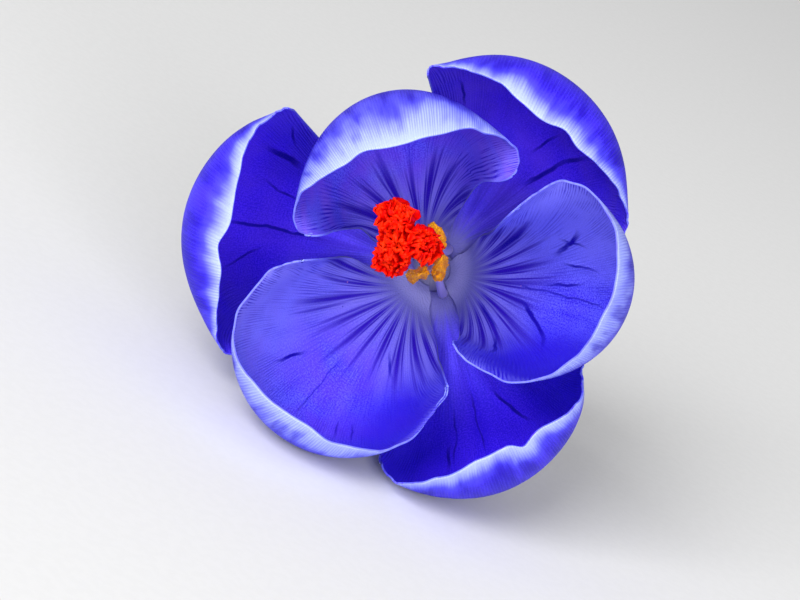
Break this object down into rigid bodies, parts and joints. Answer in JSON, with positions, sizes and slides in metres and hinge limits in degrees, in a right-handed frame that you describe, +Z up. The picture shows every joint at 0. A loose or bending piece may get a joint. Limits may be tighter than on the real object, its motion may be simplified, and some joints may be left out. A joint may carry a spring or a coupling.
{
  "type": "crocus flower",
  "caption": "Open blue-violet crocus flower as picked, lying on its side: cupped tepals on a pale tube, with a frilled orange stigma and golden anthers.",
  "frame": {"origin": "middle of the whole flower's bounds, on the surface that it lies on", "axes": "+Z up, +Y from the open mouth of the cup towards the cut end of the tube, +X to the right of one who looks into the cup"},
  "size_m": [0.0472, 0.0852, 0.0451],
  "materials": {
    "outer_tepal": "satin",
    "inner_tepal": "satin",
    "tube_skin": "satin",
    "filament": "satin",
    "anther": "matte",
    "style": "satin",
    "stigma": "satin"
  },
  "bodies": {
    "root": {"perianth_tube": "tube_skin", "outer_tepal_1": "outer_tepal", "outer_tepal_2": "outer_tepal", "outer_tepal_3": "outer_tepal", "inner_tepal_1": "inner_tepal", "inner_tepal_2": "inner_tepal", "inner_tepal_3": "inner_tepal", "filament_1": "filament", "filament_2": "filament", "filament_3": "filament", "anther_1": "anther", "anther_2": "anther", "anther_3": "anther", "style": "style", "stigma": "stigma"}
  },
  "joints": []
}
